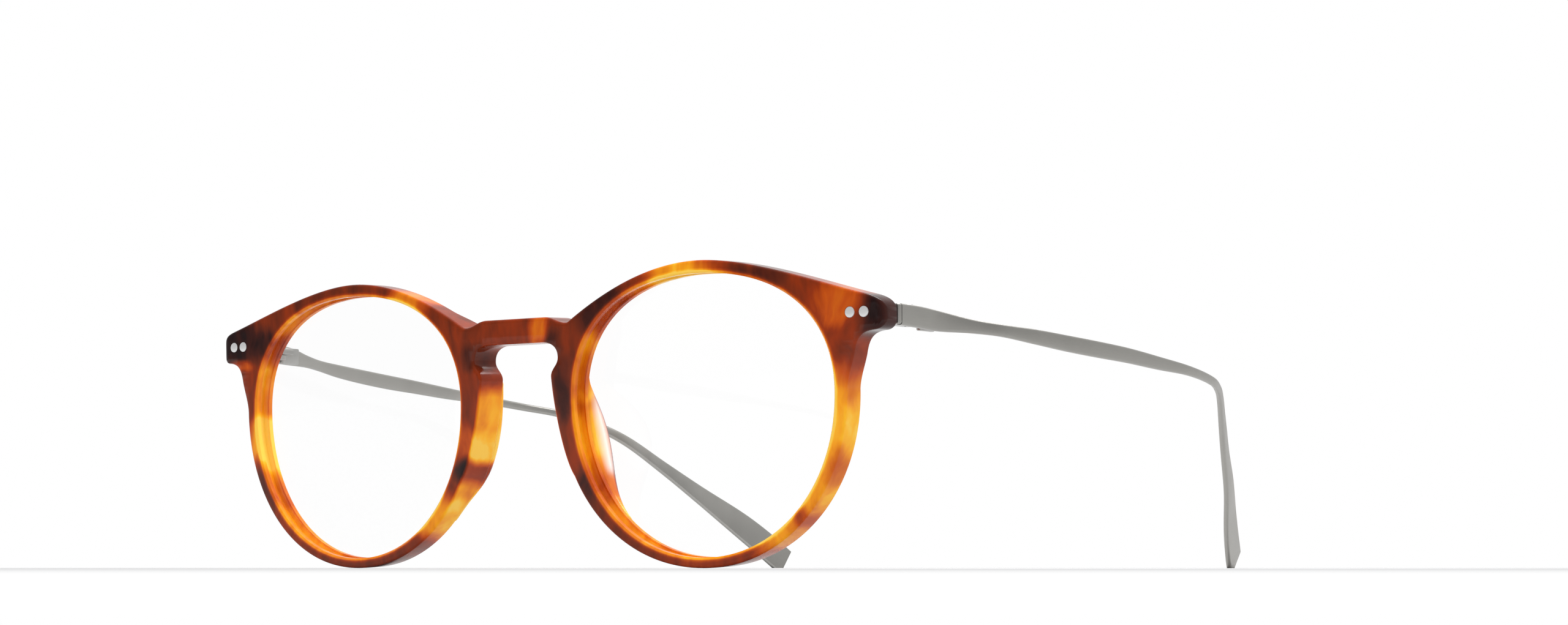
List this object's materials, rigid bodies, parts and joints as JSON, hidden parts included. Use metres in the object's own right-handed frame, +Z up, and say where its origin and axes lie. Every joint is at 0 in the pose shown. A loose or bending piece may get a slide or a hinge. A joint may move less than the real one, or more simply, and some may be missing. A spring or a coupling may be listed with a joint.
{
  "type": "eyeglasses",
  "caption": "Round full-rim eyeglasses with a translucent acetate front, keyhole bridge, clear lenses and flat metal temples that fold on riveted hinges.",
  "frame": {"origin": "on the surface the glasses stand on, under the middle of their box", "axes": "+Z up, the front faces -Y, the temples run back along +Y, +X is the side named right"},
  "size_m": [0.1516, 0.1428, 0.0458],
  "materials": {
    "tortoise_acetate": "polished translucent tortoise acetate, dark brown to amber",
    "honey_acetate": "polished translucent honey acetate",
    "clear_lens": "clear polished demo lens",
    "hinge_steel": "fine brushed steel",
    "rivet_silver": "polished nickel-plated pins and screws",
    "satin_titanium": "warm grey satin titanium"
  },
  "bodies": {
    "front": {"front_frame": "tortoise_acetate", "nose_pad_right": "honey_acetate", "lens_right": "clear_lens", "hinge_plate_right": "hinge_steel", "hinge_screw_right": "rivet_silver", "rivet_inner_right": "rivet_silver", "rivet_outer_right": "rivet_silver", "nose_pad_left": "honey_acetate", "lens_left": "clear_lens", "hinge_plate_left": "hinge_steel", "hinge_screw_left": "rivet_silver", "rivet_inner_left": "rivet_silver", "rivet_outer_left": "rivet_silver"},
    "temple_right": {"temple_right": "satin_titanium", "temple_hinge_right": "hinge_steel"},
    "temple_left": {"temple_left": "satin_titanium", "temple_hinge_left": "hinge_steel"}
  },
  "joints": [
    {"name": "fold_right", "type": "hinge", "parent": "front", "child": "temple_right", "pos_m": [0.06425, -0.05785, 0.03671], "axis": [0, 0, 1], "range_deg": [0, 86]},
    {"name": "fold_left", "type": "hinge", "parent": "front", "child": "temple_left", "pos_m": [-0.06425, -0.05785, 0.03671], "axis": [0, 0, -1], "range_deg": [0, 81]}
  ]
}
